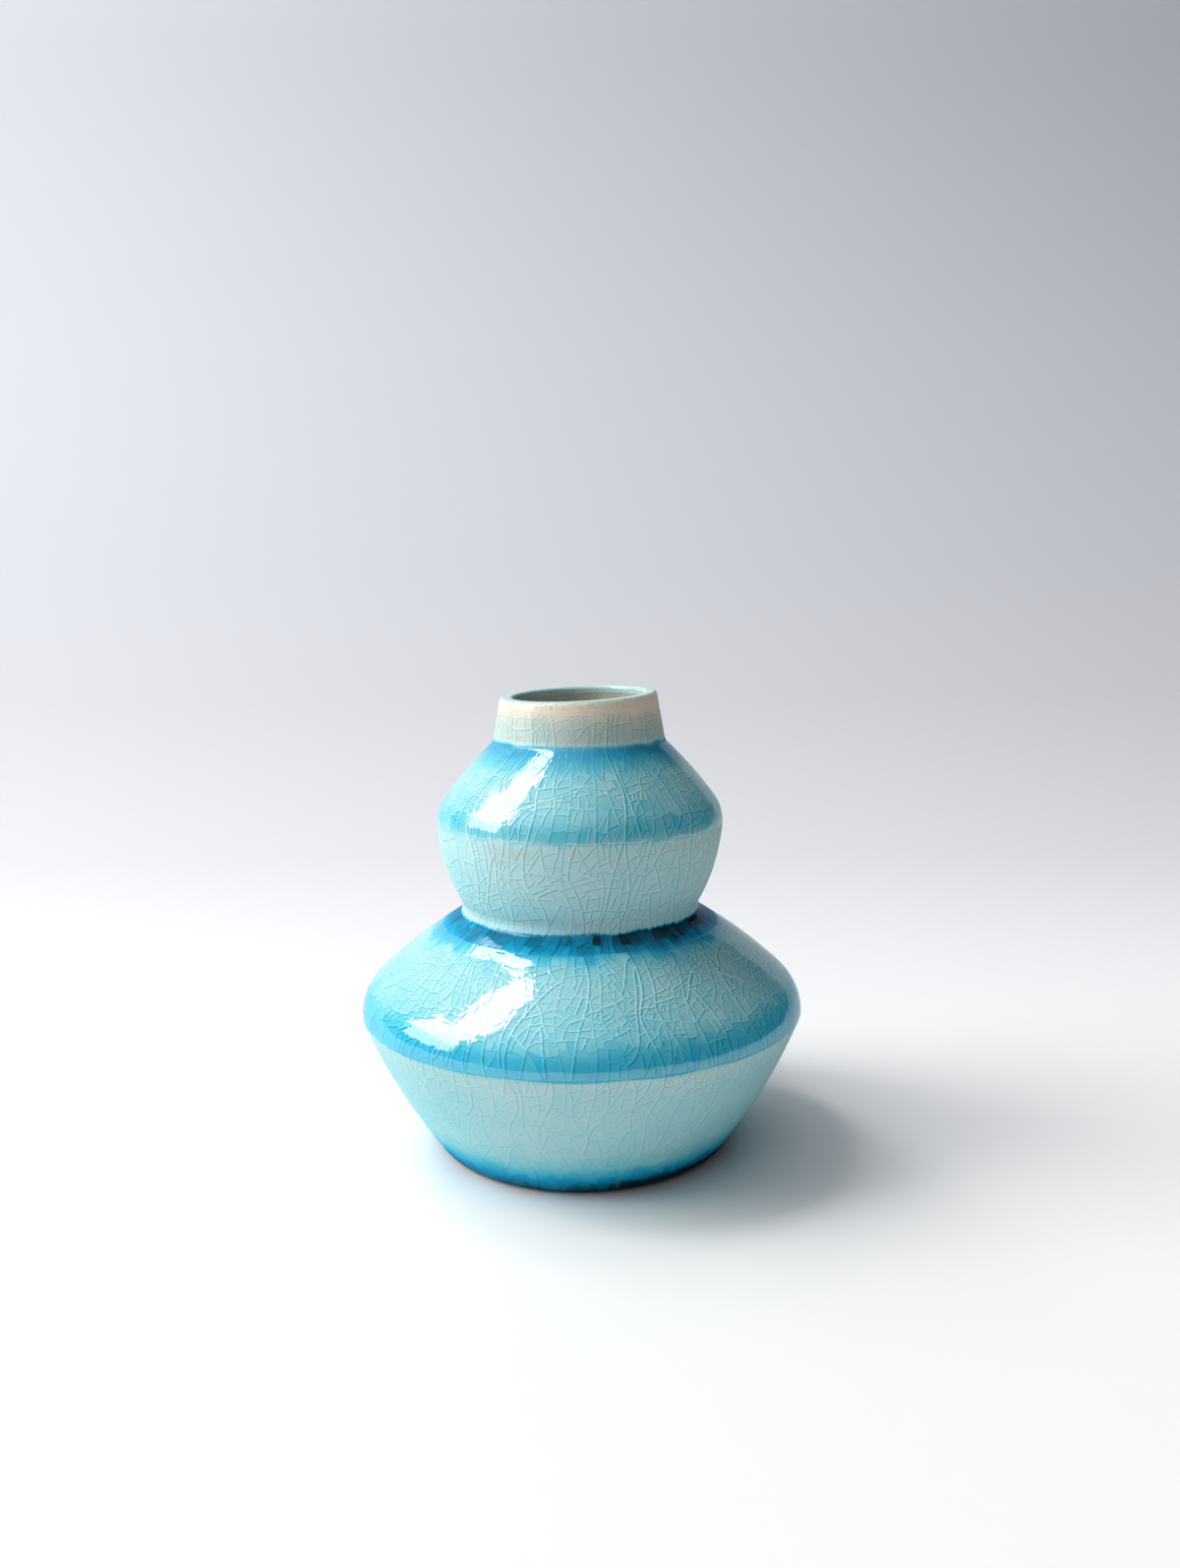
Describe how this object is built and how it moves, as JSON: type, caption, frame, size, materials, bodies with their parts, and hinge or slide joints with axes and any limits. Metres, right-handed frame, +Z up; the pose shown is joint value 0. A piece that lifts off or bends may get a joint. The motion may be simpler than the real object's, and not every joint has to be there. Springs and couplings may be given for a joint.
{
  "type": "double gourd vase",
  "caption": "Small double gourd vase with keeled bulbs, pinched waist and collar neck, luted from thrown sections under a pooled crackle glaze; holds a few stems in water.",
  "frame": {"origin": "on the floor, under the centre of the foot ring", "axes": "+Z up along the axis the vase was thrown on; the picture looks along +Y, with +X to its right"},
  "size_m": [0.1006, 0.1006, 0.1042],
  "materials": {
    "stoneware": "bare fired buff stoneware, matt, seen at the foot",
    "slip": "fired luting slip, matt, hidden in the joints",
    "celadon_glaze": "pale celadon crackle glaze, glossy",
    "turquoise_glaze": "turquoise crackle glaze, glossy",
    "pooled_glaze": "thick pooled blue crackle glaze, glossy",
    "neck_glaze": "thin cream and celadon crackle glaze, glossy",
    "lip_glaze": "celadon glaze, finely pitted, satin",
    "liner_glaze": "pale celadon liner glaze, glossy"
  },
  "bodies": {
    "root": {"lower_bowl": "stoneware", "lower_shoulder": "stoneware", "upper_bowl": "stoneware", "upper_shoulder": "stoneware", "neck_collar": "stoneware", "lower_keel_slip": "slip", "waist_slip": "slip", "upper_keel_slip": "slip", "neck_slip": "slip", "lower_bowl_glaze": "celadon_glaze", "lower_shoulder_glaze": "turquoise_glaze", "waist_glaze_pool": "pooled_glaze", "upper_bowl_glaze": "celadon_glaze", "upper_shoulder_glaze": "turquoise_glaze", "neck_glaze": "neck_glaze", "lip_glaze": "lip_glaze", "liner_glaze": "liner_glaze"}
  },
  "joints": []
}
